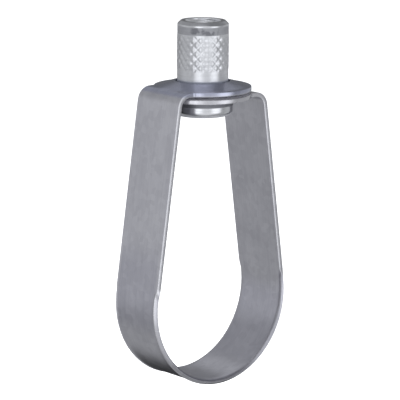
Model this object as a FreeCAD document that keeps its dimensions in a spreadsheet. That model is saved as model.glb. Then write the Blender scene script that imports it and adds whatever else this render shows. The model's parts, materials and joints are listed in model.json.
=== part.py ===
# Swivel ring hanger: a strip of steel folded to a teardrop ring round one pipe, with a knurled
# nut that turns freely in its two lapped paddle ends and takes the hanging rod.
# Millimetres. The origin is on the pipe's axis, which runs along Y. Z points up the rod.
import FreeCAD, Part
import math
import os

import Sketcher

SIZES = [
    ("ring_radius", 21.5, "inside of the cradle, a loose fit on a pipe of 42.2 mm"),
    ("strip_width", 17.2, "flat strip"),
    ("strip_thickness", 1.25, "flat strip"),
    ("flare_angle", 50, "how far the cradle's edges turn away from the pipe, in degrees"),
    ("flare_radius", 0.8, "hollow side of the turned edge"),
    ("flare_fade", 3.5, "length of leg over which the turned edge runs out flat"),
    ("tab_height", 54.5, "underside of the lower paddle above the pipe's axis"),
    ("tab_gap", 0.75, "between the two paddles, held apart by the strip's spring"),
    ("paddle_radius", 13.1, "round ends of the strip"),
    ("root_fillet", 1.0, "hollow corners where the strip widens to a paddle"),
    ("paddle_clearance", 0.8, "from the end of the lower paddle to the leg beside it"),
    ("rim_width", 0.7, "flat rim of a paddle, round its dish"),
    ("dish_angle", 16, "how steeply a paddle rises from its rim to its hole, in degrees"),
    ("bend_radius", 2.7, "inside of the two top bends"),
    ("barrel_radius", 6.85, "plain parts of the nut's barrel"),
    ("knurl_rise", 0.15, "tips of the knurl above the barrel"),
    ("knurl_depth", 0.35, "grooves of the knurl below the barrel"),
    ("knurl_teeth", 20, "diamonds round the nut"),
    ("knurl_angle", 42, "grooves to the nut's axis, in degrees"),
    ("knurl_lift", 2.8, "plain barrel between the upper paddle's hole and the knurl"),
    ("plain_band", 2.6, "plain barrel between the knurl and the top chamfer"),
    ("neck_depth", 0.45, "from the barrel in to the neck that the lower paddle sits round"),
    ("neck_play", 0.45, "above the lower paddle, before the barrel's shoulder"),
    ("swivel_clearance", 0.25, "all round the neck, in the lower paddle's hole"),
    ("spring_clearance", 0.3, "all round the knurl, in the upper paddle's hole"),
    ("seat_gap", 0.1, "from the lower paddle to the flange that carries it"),
    ("flange_radius", 8.25, "nut"),
    ("flange_height", 5.8, "nut, its upper end inside the lower paddle's dish"),
    ("flange_chamfer", 1.1, "lower edge of the flange"),
    ("flange_break", 0.4, "upper edge of the flange"),
    ("nut_height", 25.4, "nut, end to end"),
    ("top_chamfer", 0.85, "upper edge of the barrel"),
    ("shoulder_chamfer", 0.35, "lower edge of the barrel, above the neck"),
    ("bore_radius", 3.97, "minor radius of the 3/8-16 thread"),
    ("mouth_chamfer", 0.95, "countersink at both ends of the bore"),
]

# How closely the faces of one skin have to meet.
SEAM = 0.0001

doc = FreeCAD.newDocument("swivel_ring_hanger")
sheet = doc.addObject("Spreadsheet::Sheet", "sizes")
for row, (alias, size, note) in enumerate(SIZES, start=1):
    sheet.set(f"A{row}", alias)
    sheet.set(f"B{row}", str(size))
    sheet.set(f"C{row}", note)
    sheet.setAlias(f"B{row}", alias)

# What follows from the sizes above, as lengths and angles with names of their own.
WORKED = [
    ("strip_half", "sizes.strip_width / 2"),
    ("outer_radius", "sizes.ring_radius + sizes.strip_thickness"),
    # The edge is turned from the same strip, so its middle line keeps its length.
    ("cradle_half", "worked.strip_half"
     " - (sizes.flare_radius + sizes.strip_thickness / 2) * sizes.flare_angle * pi / 180"),
    ("lip_radius", "sizes.flare_radius + sizes.strip_thickness"),
    ("lip_centre", "worked.outer_radius + sizes.flare_radius"),
    ("inner_edge_half", "worked.cradle_half + worked.lip_radius * sin(sizes.flare_angle)"),
    ("inner_edge_radius", "worked.lip_centre - worked.lip_radius * cos(sizes.flare_angle)"),
    ("outer_edge_half", "worked.cradle_half + sizes.flare_radius * sin(sizes.flare_angle)"),
    ("outer_edge_radius", "worked.lip_centre - sizes.flare_radius * cos(sizes.flare_angle)"),
    ("low_top", "sizes.tab_height + sizes.strip_thickness"),
    ("high_under", "worked.low_top + sizes.tab_gap"),
    ("high_top", "worked.high_under + sizes.strip_thickness"),
    # Centres of the hollow corners at a paddle's root, along and across the strip.
    ("root_across", "worked.strip_half + sizes.root_fillet"),
    ("root_along", "sqrt((sizes.paddle_radius + sizes.root_fillet) ^ 2 - worked.root_across ^ 2)"),
    ("root_share", "sizes.paddle_radius / (sizes.paddle_radius + sizes.root_fillet)"),
    # The legs lean in from the ring to clear the lower paddle by its clearance.
    ("shoulder_half", "sizes.paddle_radius + sizes.paddle_clearance"),
    ("shoulder_reach", "sqrt(worked.shoulder_half ^ 2 + worked.low_top ^ 2)"),
    ("lean", "atan2(worked.low_top; worked.shoulder_half)"
     " - acos(sizes.ring_radius / worked.shoulder_reach)"),
    ("neck_radius", "sizes.barrel_radius - sizes.neck_depth"),
    ("low_hole", "worked.neck_radius + sizes.swivel_clearance"),
    ("crest_radius", "sizes.barrel_radius + sizes.knurl_rise"),
    ("groove_radius", "sizes.barrel_radius - sizes.knurl_depth"),
    ("high_hole", "worked.crest_radius + sizes.spring_clearance"),
    # Both paddles are dished upwards by one slope, so that they nest round the nut.
    ("dish_radius", "sizes.paddle_radius - sizes.rim_width"),
    ("low_rise", "(worked.dish_radius - worked.low_hole) * tan(sizes.dish_angle)"),
    ("high_rise", "(worked.dish_radius - worked.high_hole) * tan(sizes.dish_angle)"),
    # The flange's upper edge is what the lower dish sits on.
    ("seat_radius", "sizes.flange_radius - sizes.flange_break"),
    ("seat_rise", "(worked.dish_radius - worked.seat_radius) * tan(sizes.dish_angle)"),
    ("flange_top", "sizes.tab_height + worked.seat_rise - sizes.seat_gap"),
    ("nut_bottom", "worked.flange_top - sizes.flange_height"),
    ("nut_top", "worked.nut_bottom + sizes.nut_height"),
    ("neck_top", "worked.low_top + worked.low_rise + sizes.neck_play"),
    ("mouth_radius", "sizes.bore_radius + sizes.mouth_chamfer"),
    ("knurl_bottom", "worked.high_top + worked.high_rise + sizes.knurl_lift"),
    ("knurl_top", "worked.nut_top - sizes.top_chamfer - sizes.plain_band"),
    # The knurled ring is rooted in the wall, under a recess in the turned blank.
    ("recess_radius", "worked.groove_radius - sizes.knurl_depth"),
    ("root_radius", "(worked.recess_radius + sizes.bore_radius) / 2"),
]

worked = doc.addObject("App::VarSet", "worked")
for name, formula in WORKED:
    worked.addProperty("App::PropertyFloat", name)
for name, formula in WORKED:
    worked.setExpression(name, formula)
doc.recompute()


def worth(formula):
    """What a formula in the sizes comes to now."""
    return float(worked.evalExpression(formula))


def sketch_on(body, role, name):
    """A sketch on one of the body's own planes."""
    sketch = body.newObject("Sketcher::SketchObject", name)
    plane = next(f for f in body.Origin.OriginFeatures if f.Role == role)
    sketch.AttachmentSupport = [(plane, "")]
    sketch.MapMode = "FlatFace"
    return sketch


def raised_sketch(body, name, height):
    """A sketch level with the ground, at a height given as a formula."""
    sketch = sketch_on(body, "XY_Plane", name)
    sketch.setExpression("AttachmentOffset.Base.z", height)
    return sketch


def bind(sketch, kind, geometry, point, formula):
    """Ties a point's distance from the sketch's origin, across or up, to a formula."""
    if formula == "0":
        axis = -2 if kind == "DistanceX" else -1
        sketch.addConstraint(Sketcher.Constraint("PointOnObject", geometry, point, axis))
        return
    rule = Sketcher.Constraint(kind, -1, 1, geometry, point, worth(formula))
    place = sketch.addConstraint(rule)
    sketch.setExpression(f"Constraints[{place}]", formula)


def outline(sketch, corners, rounds):
    """A closed outline. corners are pairs of formulas. rounds gives, for the edge that leaves
    a corner, the arc's radius and its centre."""
    ends = [FreeCAD.Vector(worth(across), worth(up), 0) for across, up in corners]
    pieces = []
    for i, start in enumerate(ends):
        end = ends[(i + 1) % len(ends)]
        if i not in rounds:
            pieces.append((sketch.addGeometry(Part.LineSegment(start, end)), 1, 2))
            continue
        radius, across, up = rounds[i]
        centre = FreeCAD.Vector(worth(across), worth(up), 0)
        circle = Part.Circle(centre, FreeCAD.Vector(0, 0, 1), worth(radius))
        leaves = math.atan2(start.y - centre.y, start.x - centre.x)
        arrives = math.atan2(end.y - centre.y, end.x - centre.x)
        if (arrives - leaves) % (2 * math.pi) < math.pi:
            geometry = sketch.addGeometry(Part.ArcOfCircle(circle, leaves, arrives))
            pieces.append((geometry, 1, 2))
        else:
            geometry = sketch.addGeometry(Part.ArcOfCircle(circle, arrives, leaves))
            pieces.append((geometry, 2, 1))
        rule = Sketcher.Constraint("Radius", geometry, worth(radius))
        sketch.setExpression(f"Constraints[{sketch.addConstraint(rule)}]", radius)
    for i, (geometry, first, last) in enumerate(pieces):
        after, start, end = pieces[(i + 1) % len(pieces)]
        sketch.addConstraint(Sketcher.Constraint("Coincident", geometry, last, after, start))
        bind(sketch, "DistanceX", geometry, first, corners[i][0])
        bind(sketch, "DistanceY", geometry, first, corners[i][1])


def disc(sketch, radius):
    """A circle about the nut's axis."""
    centre = FreeCAD.Vector(0, 0, 0)
    up = FreeCAD.Vector(0, 0, 1)
    geometry = sketch.addGeometry(Part.Circle(centre, up, worth(radius)))
    sketch.addConstraint(Sketcher.Constraint("Coincident", geometry, 3, -1, 1))
    rule = Sketcher.Constraint("Radius", geometry, worth(radius))
    sketch.setExpression(f"Constraints[{sketch.addConstraint(rule)}]", radius)


def feature(body, kind, name, profile):
    """A solid feature made from a sketch."""
    made = body.newObject(f"PartDesign::{kind}", name)
    made.Profile = profile
    profile.Visibility = False
    return made


# Sections of the strip where it meets the pipe. Each corner is a distance along the pipe and
# one from its axis. Both sections have the same corners, so that one can run out into the other.
FLARED = [
    ("-worked.inner_edge_half", "worked.inner_edge_radius"),
    ("-worked.cradle_half", "sizes.ring_radius"),
    ("worked.cradle_half", "sizes.ring_radius"),
    ("worked.inner_edge_half", "worked.inner_edge_radius"),
    ("worked.outer_edge_half", "worked.outer_edge_radius"),
    ("worked.cradle_half", "worked.outer_radius"),
    ("-worked.cradle_half", "worked.outer_radius"),
    ("-worked.outer_edge_half", "worked.outer_edge_radius"),
]
FLAT = [
    ("-worked.strip_half", "sizes.ring_radius"),
    ("-worked.cradle_half", "sizes.ring_radius"),
    ("worked.cradle_half", "sizes.ring_radius"),
    ("worked.strip_half", "sizes.ring_radius"),
    ("worked.strip_half", "worked.outer_radius"),
    ("worked.cradle_half", "worked.outer_radius"),
    ("-worked.cradle_half", "worked.outer_radius"),
    ("-worked.strip_half", "worked.outer_radius"),
]
# The turned edges: which side of FLARED is an arc, its radius and its centre.
FLARED_ARCS = {
    0: ("worked.lip_radius", "-worked.cradle_half", "worked.lip_centre"),
    2: ("worked.lip_radius", "worked.cradle_half", "worked.lip_centre"),
    4: ("sizes.flare_radius", "worked.cradle_half", "worked.lip_centre"),
    6: ("sizes.flare_radius", "-worked.cradle_half", "worked.lip_centre"),
}


def hanging(along, out):
    """A section's point on the sketch at the bottom of the ring, where out is down."""
    return along, f"-({out})"


def level(along, out):
    """A section's point on a sketch across a leg, where out is to the right."""
    return out, along


def section(sketch, turned, corners, arcs):
    """Draws a section of the strip. turned places its points on the sketch."""
    rounds = {side: (radius, *turned(along, out)) for side, (radius, along, out) in arcs.items()}
    outline(sketch, [turned(along, out) for along, out in corners], rounds)


def leg_and_tab(side, under):
    """Side view of one leg, its top bend and its tab as far as the nut's axis. side is 1 to
    the right and -1 to the left, under is the tab's underside."""
    sign = "" if side > 0 else "-"
    lean_sin, lean_cos = "sin(worked.lean)", "cos(worked.lean)"
    top = f"{under} + sizes.strip_thickness"
    bend_up = f"({under} - sizes.bend_radius)"
    bend_out = f"(sizes.ring_radius - sizes.bend_radius - {bend_up} * {lean_sin}) / {lean_cos}"
    outer_bend = "(sizes.bend_radius + sizes.strip_thickness)"

    def on_leg(radius):
        return (f"{sign}({radius} * {lean_cos} - sizes.flare_fade * {lean_sin})",
                f"{radius} * {lean_sin} + sizes.flare_fade * {lean_cos}")

    def on_bend(radius):
        return (f"{sign}({bend_out} + {radius} * {lean_cos})",
                f"{bend_up} + {radius} * {lean_sin}")

    centre = (f"{sign}({bend_out})", bend_up)
    corners = [
        on_leg("sizes.ring_radius"),
        on_bend("sizes.bend_radius"),
        (f"{sign}({bend_out})", under),
        ("0", under),
        ("0", top),
        (f"{sign}({bend_out})", top),
        on_bend(outer_bend),
        on_leg("worked.outer_radius"),
    ]
    return corners, {1: ("sizes.bend_radius", *centre), 5: (outer_bend, *centre)}


def paddle(sketch, side):
    """Outline of a paddle: a round end with hollow corners where the strip comes in. side is
    the side that its leg is on."""
    along = "worked.root_along" if side > 0 else "-worked.root_along"
    tip = "-sizes.paddle_radius" if side > 0 else "sizes.paddle_radius"
    corners = [
        (along, "-worked.strip_half"),
        (f"{along} * worked.root_share", "-worked.root_across * worked.root_share"),
        (tip, "0"),
        (f"{along} * worked.root_share", "worked.root_across * worked.root_share"),
        (along, "worked.strip_half"),
    ]
    rounds = {
        0: ("sizes.root_fillet", along, "-worked.root_across"),
        1: ("sizes.paddle_radius", "0", "0"),
        2: ("sizes.paddle_radius", "0", "0"),
        3: ("sizes.root_fillet", along, "worked.root_across"),
    }
    outline(sketch, corners, rounds)


# The strip's two sides: name, which way it lies, underside of its paddle, its hole and how far
# its dish has risen there.
UPPER_SIDE = ("upper", -1, "worked.high_under", "worked.high_hole", "worked.high_rise")
LOWER_SIDE = ("lower", 1, "sizes.tab_height", "worked.low_hole", "worked.low_rise")


def build_band():
    """The strip: cradle, run-outs, legs with their tabs, and round dished paddles with holes."""
    body = doc.addObject("PartDesign::Body", "band")
    origin = {f.Role: f for f in body.Origin.OriginFeatures}

    bottom = sketch_on(body, "YZ_Plane", "cradle_section")
    section(bottom, hanging, FLARED, FLARED_ARCS)
    cradle = feature(body, "Revolution", "cradle", bottom)
    cradle.ReferenceAxis = (origin["Y_Axis"], [""])
    cradle.Midplane = True
    cradle.setExpression("Angle", "180 + 2 * worked.lean")

    ends = []
    for name, corners, arcs, climb in (("run_out_start", FLARED, FLARED_ARCS, "0"),
                                       ("run_out_end", FLAT, {}, "sizes.flare_fade")):
        end = sketch_on(body, "XY_Plane", name)
        tilt = FreeCAD.Rotation(FreeCAD.Vector(0, -1, 0), worth("worked.lean"))
        end.AttachmentOffset = FreeCAD.Placement(FreeCAD.Vector(0, 0, 0), tilt)
        end.setExpression("AttachmentOffset.Rotation.Angle", "worked.lean")
        end.setExpression("AttachmentOffset.Base.x", f"-{climb} * sin(worked.lean)")
        end.setExpression("AttachmentOffset.Base.z", f"{climb} * cos(worked.lean)")
        section(end, level, corners, arcs)
        ends.append(end)
    run_out = feature(body, "AdditiveLoft", "run_out", ends[0])
    run_out.Sections = [ends[1]]
    run_out.Ruled = True
    other_run_out = body.newObject("PartDesign::Mirrored", "other_run_out")
    other_run_out.Originals = [run_out]
    other_run_out.MirrorPlane = (origin["YZ_Plane"], [""])
    body.Tip = other_run_out

    # The upper side first: the lower dish rises to where the upper tab's blank would cut it.
    for name, side, under, hole, rise in UPPER_SIDE, LOWER_SIDE:
        profile = sketch_on(body, "XZ_Plane", f"{name}_leg_profile")
        corners, rounds = leg_and_tab(side, under)
        outline(profile, corners, rounds)
        leg = feature(body, "Pad", f"{name}_leg", profile)
        leg.SideType = "Symmetric"
        leg.setExpression("Length", "sizes.strip_width")
        round_end = raised_sketch(body, f"{name}_paddle_outline", under)
        paddle(round_end, side)
        pad = feature(body, "Pad", f"{name}_paddle", round_end)
        pad.setExpression("Length", "sizes.strip_thickness")
        top = f"{under} + sizes.strip_thickness"
        middle = raised_sketch(body, f"{name}_dish_outline", f"{top} + sizes.tab_gap / 2")
        disc(middle, "worked.dish_radius")
        rim = feature(body, "Pocket", f"{name}_rim", middle)
        rim.setExpression("Length", "sizes.strip_thickness + sizes.tab_gap")
        slope = sketch_on(body, "XZ_Plane", f"{name}_dish_section")
        outline(slope, [("worked.dish_radius", under), ("worked.dish_radius", top),
                        (hole, f"{top} + {rise}"), (hole, f"{under} + {rise}")], {})
        dish = feature(body, "Revolution", f"{name}_dish", slope)
        dish.ReferenceAxis = (origin["Z_Axis"], [""])
        dish.Angle = 360
    return body


def knurl_facets():
    """The knurled ring's outside: rows of four-sided pyramids between two crossing sets of
    grooves, with a short plain collar at each end that runs into the barrel."""
    teeth = round(worth("sizes.knurl_teeth"))
    crest, groove = worth("worked.crest_radius"), worth("worked.groove_radius")
    collar = worth("sizes.knurl_depth") / 2
    bottom = worth("worked.knurl_bottom") + collar / 2
    length = worth("worked.knurl_top") - collar / 2 - bottom
    steepness = math.tan(math.radians(worth("sizes.knurl_angle")))
    rows = max(2, round(length * teeth * steepness / (math.pi * worth("sizes.barrel_radius"))))
    points, edges = {}, {}

    def point(radius, row, step, drop=0.0):
        """A point of the knurl. step counts half diamonds round the nut."""
        key = (radius, row, step % (2 * teeth), drop)
        if key not in points:
            angle = math.pi * key[2] / teeth
            height = bottom + length * row / rows - drop
            points[key] = Part.Vertex(radius * math.cos(angle), radius * math.sin(angle), height)
        return key

    def facet(*keys):
        """A flat face through points, on edges that its neighbours share."""
        sides = []
        for pair in zip(keys, keys[1:] + keys[:1]):
            side = frozenset(pair)
            if side not in edges:
                edges[side] = Part.Edge(points[pair[0]], points[pair[1]])
            sides.append(edges[side])
        return Part.Face(Part.Wire(sides))

    faces = []
    for row in range(1, rows):
        for step in range(row % 2, 2 * teeth, 2):
            tip = point(crest, row, step)
            round_it = [point(groove, row, step - 1), point(groove, row - 1, step),
                        point(groove, row, step + 1), point(groove, row + 1, step)]
            faces += [facet(round_it[side - 1], round_it[side], tip) for side in range(4)]
    for row, inward, drop in ((0, 1, collar), (rows, rows - 1, -collar)):
        rim = []
        for step in range(row % 2, 2 * teeth, 2):
            west, east = point(groove, row, step - 1), point(groove, row, step + 1)
            rim.append(point(groove, row, step - 1, drop))
            faces.append(facet(west, east, point(groove, inward, step)))
            faces.append(facet(west, east, point(groove, row, step + 1, drop), rim[-1]))
        faces.append(facet(*rim))
    return faces


def build_knurl():
    """The knurled ring, a solid of its own until the nut takes it in."""
    ring = doc.addObject("Part::Feature", "knurl")
    skin = Part.Shell(knurl_facets())
    skin.fix(SEAM, SEAM, SEAM)
    full = Part.Solid(skin)
    foot = FreeCAD.Vector(0, 0, worth("worked.nut_bottom"))
    core = Part.makeCylinder(worth("worked.root_radius"), worth("sizes.nut_height"), foot)
    ring.Shape = full.cut(core)
    ring.Placement = FreeCAD.Placement()
    return ring


def build_swivel_nut():
    """The turned nut: flange, neck, barrel and bore, with the knurl rolled into its barrel."""
    body = doc.addObject("PartDesign::Body", "turned_nut")
    origin = {f.Role: f for f in body.Origin.OriginFeatures}
    profile = sketch_on(body, "XZ_Plane", "nut_profile")
    corners = [
        ("sizes.bore_radius", "worked.nut_bottom + sizes.mouth_chamfer"),
        ("worked.mouth_radius", "worked.nut_bottom"),
        ("sizes.flange_radius - sizes.flange_chamfer", "worked.nut_bottom"),
        ("sizes.flange_radius", "worked.nut_bottom + sizes.flange_chamfer"),
        ("sizes.flange_radius", "worked.flange_top - sizes.flange_break"),
        ("worked.seat_radius", "worked.flange_top"),
        ("worked.neck_radius", "worked.flange_top"),
        ("worked.neck_radius", "worked.neck_top"),
        ("sizes.barrel_radius - sizes.shoulder_chamfer", "worked.neck_top"),
        ("sizes.barrel_radius", "worked.neck_top + sizes.shoulder_chamfer"),
        ("sizes.barrel_radius", "worked.knurl_bottom"),
        ("worked.recess_radius", "worked.knurl_bottom"),
        ("worked.recess_radius", "worked.knurl_top"),
        ("sizes.barrel_radius", "worked.knurl_top"),
        ("sizes.barrel_radius", "worked.nut_top - sizes.top_chamfer"),
        ("sizes.barrel_radius - sizes.top_chamfer", "worked.nut_top"),
        ("worked.mouth_radius", "worked.nut_top"),
        ("sizes.bore_radius", "worked.nut_top - sizes.mouth_chamfer"),
    ]
    outline(profile, corners, {})
    turned = feature(body, "Revolution", "turned_blank", profile)
    turned.ReferenceAxis = (origin["Z_Axis"], [""])
    turned.Angle = 360
    nut = doc.addObject("Part::Fuse", "swivel_nut")
    nut.Base = body
    nut.Tool = build_knurl()
    return nut


parts = [build_band(), build_swivel_nut()]
doc.recompute()

for thing in doc.Objects:
    if "Invalid" in thing.State or "Error" in thing.State:
        raise RuntimeError(f"{thing.Name} failed: {thing.State}")
for part in parts:
    if part.Shape.isNull() or not part.Shape.isValid() or len(part.Shape.Solids) != 1:
        raise RuntimeError(f"{part.Label} is not one sound solid")

os.makedirs("parts", exist_ok=True)
for part in parts:
    part.Shape.exportStep(f"parts/{part.Label}.step")
    box = part.Shape.BoundBox
    print(f"{part.Label}: {part.Shape.Volume:.1f} mm3, x {box.XMin:.2f}..{box.XMax:.2f},"
          f" y {box.YMin:.2f}..{box.YMax:.2f}, z {box.ZMin:.2f}..{box.ZMax:.2f}")
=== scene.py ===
# %% [markdown]
# # A swivel ring hanger
# A strip of galvanised steel is folded to a teardrop ring for one pipe. A knurled nut stands up
# through its two lapped ends, turns freely in them, and screws onto the hanging rod. The packed
# model gives the frame: where each piece is and how large. What follows makes both pieces as
# they look close by: the strip with rolled edges and a soft grey skin, the nut with its knurl
# and its thread.

# %% The frame
import json
import math

import bmesh
import bpy
from mathutils import Matrix, Vector


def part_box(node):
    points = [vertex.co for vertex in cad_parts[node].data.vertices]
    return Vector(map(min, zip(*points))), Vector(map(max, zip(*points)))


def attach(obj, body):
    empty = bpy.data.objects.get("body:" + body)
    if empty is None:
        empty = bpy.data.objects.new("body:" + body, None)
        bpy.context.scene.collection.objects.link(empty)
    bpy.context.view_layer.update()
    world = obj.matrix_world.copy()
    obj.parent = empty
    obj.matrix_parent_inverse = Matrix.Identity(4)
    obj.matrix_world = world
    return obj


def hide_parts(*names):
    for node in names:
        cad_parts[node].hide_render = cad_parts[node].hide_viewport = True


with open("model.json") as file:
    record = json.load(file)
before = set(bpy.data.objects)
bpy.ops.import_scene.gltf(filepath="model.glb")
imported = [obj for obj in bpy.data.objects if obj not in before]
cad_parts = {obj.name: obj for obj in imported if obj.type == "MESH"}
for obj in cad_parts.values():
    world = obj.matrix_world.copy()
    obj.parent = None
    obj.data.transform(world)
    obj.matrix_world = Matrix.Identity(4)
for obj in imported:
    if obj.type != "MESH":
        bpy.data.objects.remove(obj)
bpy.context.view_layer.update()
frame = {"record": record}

MM = 0.001
band_low, band_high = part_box("band")
nut_low, nut_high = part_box("swivel_nut")
mounts = {mount["name"]: mount for mount in frame["record"]["mounts"]}
ring_radius = mounts["pipe_seat"]["dims"]["r_mm"] * MM
bore_radius = mounts["rod_thread"]["dims"]["r_mm"] * MM
paddle_radius = band_high.y
flange_radius = nut_high.x
print(f"ring inside {2 * ring_radius / MM:.1f} mm, bore {2 * bore_radius / MM:.2f} mm")

# %% [markdown]
# ## Arithmetic in node trees
# A node tree can work out a formula, but each plus sign takes a Math node. A small class hides
# that: a Field is a number that varies over a mesh or a surface, and Python's own operators add
# the nodes. Geometry trees and shader trees both understand it.

# %% Fields


class Field:
    """A value in a node tree. Arithmetic on it adds Math nodes to that tree."""

    def __init__(self, socket):
        self.socket = socket

    def __add__(self, other):
        return maths("ADD", self, other)

    def __radd__(self, other):
        return maths("ADD", other, self)

    def __sub__(self, other):
        return maths("SUBTRACT", self, other)

    def __rsub__(self, other):
        return maths("SUBTRACT", other, self)

    def __mul__(self, other):
        return maths("MULTIPLY", self, other)

    def __rmul__(self, other):
        return maths("MULTIPLY", other, self)

    def __truediv__(self, other):
        return maths("DIVIDE", self, other)

    def __rtruediv__(self, other):
        return maths("DIVIDE", other, self)


def plug(value, slot):
    """Feeds an input with a field, a socket or a plain value."""
    source = value.socket if isinstance(value, Field) else value
    if isinstance(source, bpy.types.NodeSocket):
        slot.id_data.links.new(source, slot)
    else:
        slot.default_value = source


def add(tree, kind, *values, **settings):
    """Adds a node, gives it its settings, and feeds its inputs in their order."""
    node = tree.nodes.new(kind)
    for name, value in settings.items():
        setattr(node, name, value)
    for slot, value in zip([s for s in node.inputs if s.enabled], values):
        if value is not None:
            plug(value, slot)
    return node


def maths(operation, *values):
    """One Math node, in the tree of the first field among its values."""
    tree = next(v for v in values if isinstance(v, Field)).socket.id_data
    return Field(add(tree, "ShaderNodeMath", *values, operation=operation).outputs[0])


def sine(angle):
    return maths("SINE", angle)


def cosine(angle):
    return maths("COSINE", angle)


def clamped(value, low, high):
    return maths("MINIMUM", maths("MAXIMUM", value, low), high)


def vector(tree, x, y, z):
    """Three numbers as one vector."""
    return add(tree, "ShaderNodeCombineXYZ", x, y, z).outputs[0]


def parts_of(tree, socket):
    """The three numbers of a vector."""
    return [Field(s) for s in add(tree, "ShaderNodeSeparateXYZ", socket).outputs]


print("Fields ready: +, -, *, / and a few functions")

# %% [markdown]
# ## Geometry trees as tools
# A Geometry Nodes tree is a recipe with named inputs. The helpers below start a tree, close it,
# and run it once: the tree is put on an object as a modifier, its inputs are set through their
# socket identifiers, and the evaluated result is kept as a plain mesh. The modifier is gone
# before the piece is handed to the frame.

# %% Starting, closing and running a tree
KINDS = {float: "NodeSocketFloat", int: "NodeSocketInt", "object": "NodeSocketObject",
         "material": "NodeSocketMaterial"}


def recipe(name, **inputs):
    """A geometry tree, its input fields by name, and the geometry that comes in."""
    tree = bpy.data.node_groups.new(name, "GeometryNodeTree")
    tree.interface.new_socket("Geometry", in_out="INPUT", socket_type="NodeSocketGeometry")
    for label, kind in inputs.items():
        tree.interface.new_socket(label, in_out="INPUT", socket_type=KINDS[kind])
    tree.interface.new_socket("Geometry", in_out="OUTPUT", socket_type="NodeSocketGeometry")
    given = tree.nodes.new("NodeGroupInput").outputs
    fields = {label: Field(given[label]) for label in inputs}
    return tree, given["Geometry"], fields


def close_recipe(tree, geometry, material):
    """Ends a tree: real geometry and no instances, with its material."""
    real = add(tree, "GeometryNodeRealizeInstances", geometry).outputs[0]
    painted = add(tree, "GeometryNodeSetMaterial", real, True, material).outputs[0]
    tree.links.new(painted, tree.nodes.new("NodeGroupOutput").inputs[0])
    return tree


def weld(tree, geometry, gap):
    """Joins the points of a mesh that lie closer together than a gap."""
    merge = add(tree, "GeometryNodeMergeByDistance", geometry, True)
    merge.inputs["Distance"].default_value = gap
    return merge.outputs[0]


def run_modifiers(piece):
    """What a piece's modifiers make of it, as a plain mesh."""
    graph = bpy.context.evaluated_depsgraph_get()
    mesh = bpy.data.meshes.new_from_object(piece.evaluated_get(graph))
    piece.modifiers.clear()
    return mesh


def cook(tree, piece, **values):
    """Runs a tree on a piece and returns the mesh that it makes."""
    modifier = piece.modifiers.new(tree.name, "NODES")
    modifier.node_group = tree
    for socket in tree.interface.items_tree:
        if socket.in_out == "INPUT" and socket.name in values:
            modifier[socket.identifier] = values[socket.name]
    return run_modifiers(piece)


def new_piece(name, mesh):
    """An object for a mesh, at the origin."""
    piece = bpy.data.objects.new(name, mesh)
    bpy.context.scene.collection.objects.link(piece)
    return piece


print("Recipes ready")

# %% [markdown]
# ## Finishes
# Galvanised strip is grey and satin: thin zinc, rolled along the strip, with a faint mottle
# where its crystals lie. The zinc on the turned nut is thinner and brighter. Both share one
# effect, the soft mottle of zinc, so it is a shader group with named inputs, built once.

# %% Zinc mottle, a shader group
FLOAT = "NodeSocketFloat"
DIRECTION = "NodeSocketVector"
CLOUD_DETAIL = 3.0
GRAINS_A_CRYSTAL = 8.0


def shader_group(name, inputs, outputs):
    """An empty shader group with its sockets."""
    group = bpy.data.node_groups.new(name, "ShaderNodeTree")
    for label, kind in inputs.items():
        group.interface.new_socket(label, in_out="INPUT", socket_type=kind)
    for label, kind in outputs.items():
        group.interface.new_socket(label, in_out="OUTPUT", socket_type=kind)
    return group, group.nodes.new("NodeGroupInput").outputs, group.nodes.new("NodeGroupOutput")


def zinc_mottle():
    """Crystals and clouds in a zinc skin: a shade from 0 to 1 and a height for the bump."""
    group, given, out = shader_group(
        "zinc_mottle",
        {"Place": DIRECTION, "Crystal size": FLOAT, "Cloud size": FLOAT, "Crystal share": FLOAT},
        {"Shade": FLOAT, "Height": FLOAT})
    clouds = add(group, "ShaderNodeTexNoise", given["Place"])
    plug(1.0 / Field(given["Cloud size"]), clouds.inputs["Scale"])
    clouds.inputs["Detail"].default_value = CLOUD_DETAIL
    crystals = add(group, "ShaderNodeTexVoronoi", given["Place"])
    plug(1.0 / Field(given["Crystal size"]), crystals.inputs["Scale"])
    grain = add(group, "ShaderNodeTexNoise", given["Place"])
    plug(GRAINS_A_CRYSTAL / Field(given["Crystal size"]), grain.inputs["Scale"])
    tone = Field(add(group, "ShaderNodeSeparateColor", crystals.outputs["Color"]).outputs[0])
    share = Field(given["Crystal share"])
    shade = Field(clouds.outputs[0]) * (1.0 - share) + tone * share
    plug(shade, out.inputs["Shade"])
    plug(Field(grain.outputs[0]) + tone * share, out.inputs["Height"])
    return group


mottle = zinc_mottle()
print("zinc_mottle:", [s.name for s in mottle.interface.items_tree])

# %% [markdown]
# Rolling draws fine lines along the strip, and a lathe's tool leaves fine rings on the nut. Both
# are the same effect: noise that changes slowly one way and quickly the other. So the second
# group takes a slow place and a fast one, and each finish says what is slow and fast on it.

# %% Fine lines, a shader group
LINE_DETAIL = 2.0


def fine_lines():
    """Fine lines in a surface: a shade from 0 to 1, which is also their height."""
    group, given, out = shader_group(
        "fine_lines", {"Slow place": DIRECTION, "Fast place": FLOAT, "Length": FLOAT,
                       "Width": FLOAT}, {"Shade": FLOAT})
    x, y, _ = parts_of(group, given["Slow place"])
    length, width = Field(given["Length"]), Field(given["Width"])
    place = vector(group, x / length, y / length, Field(given["Fast place"]) / width)
    noise = add(group, "ShaderNodeTexNoise", place)
    noise.inputs["Scale"].default_value = 1.0
    noise.inputs["Detail"].default_value = LINE_DETAIL
    plug(noise.outputs[0], out.inputs["Shade"])
    return group


lining = fine_lines()
print("fine_lines:", [s.name for s in lining.interface.items_tree])

# %% [markdown]
# A finish differs from place to place: pressed here, rubbed there. So each finish gets zones, which
# are masks worked out from a point's place. The edge of a zone is a pair of places, one where the
# zone is gone and one where it is full, because on metal no such edge is sharp.

# %% Zones of a finish


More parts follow.
